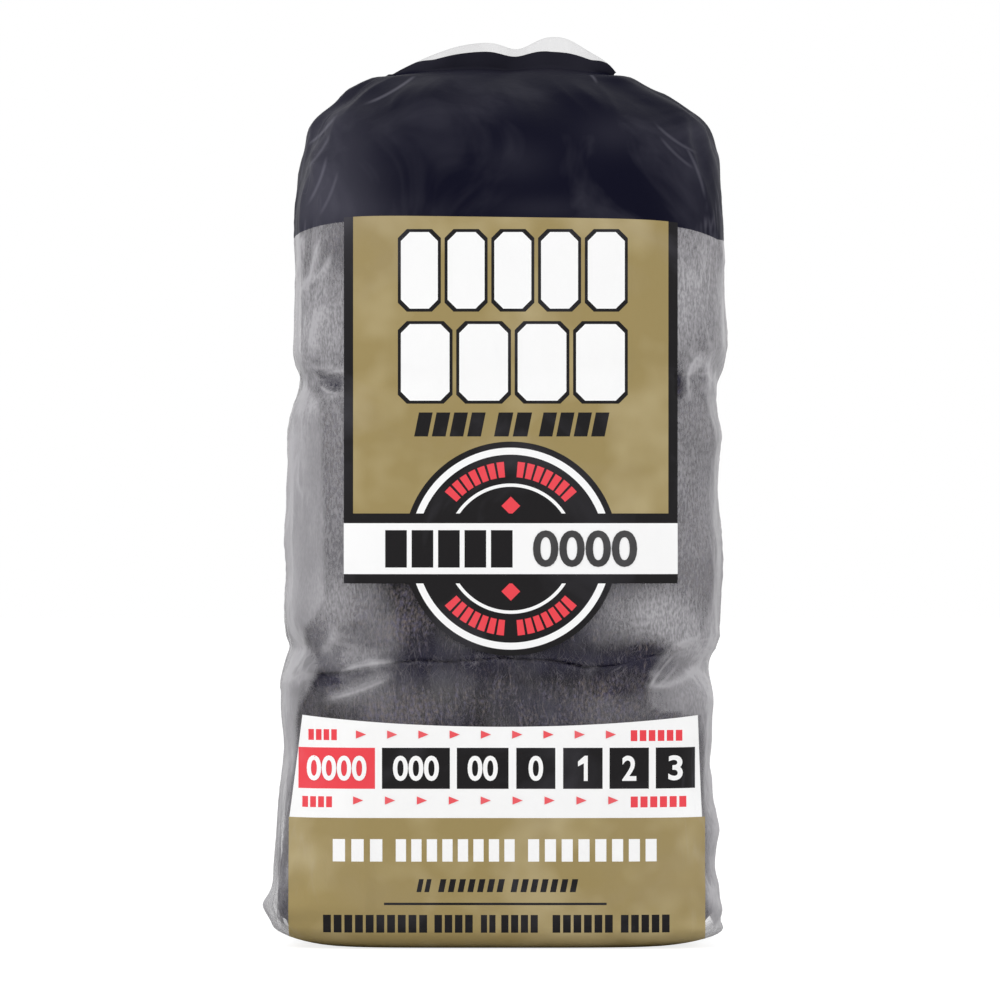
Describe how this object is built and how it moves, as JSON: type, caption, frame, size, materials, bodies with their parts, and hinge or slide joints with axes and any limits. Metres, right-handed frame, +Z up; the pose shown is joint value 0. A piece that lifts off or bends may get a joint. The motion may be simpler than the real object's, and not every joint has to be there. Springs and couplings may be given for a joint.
{
  "type": "bag of steel wool pads",
  "caption": "Printed clear film bag packed tight with stacked steel wool pads, standing on its folded base, for scouring and polishing.",
  "frame": {"origin": "middle of the flat base that the bag stands on", "axes": "+Z up from the base to the sealed top, -Y out of the printed front, +X to the right as the front is seen"},
  "size_m": [0.1147, 0.0825, 0.2242],
  "materials": {
    "printed_film": "clear polyethylene film, slightly milky, with navy, gold, white and black print",
    "steel_wool": "very fine grey steel fibres, matted and pressed"
  },
  "bodies": {
    "root": {"film_bag": "printed_film", "wool_pad_1_1": "steel_wool", "wool_pad_1_2": "steel_wool", "wool_pad_1_3": "steel_wool", "wool_pad_1_4": "steel_wool", "wool_pad_2_1": "steel_wool", "wool_pad_2_2": "steel_wool", "wool_pad_2_3": "steel_wool", "wool_pad_2_4": "steel_wool", "wool_pad_3_1": "steel_wool", "wool_pad_3_2": "steel_wool", "wool_pad_3_3": "steel_wool", "wool_pad_3_4": "steel_wool"}
  },
  "joints": []
}
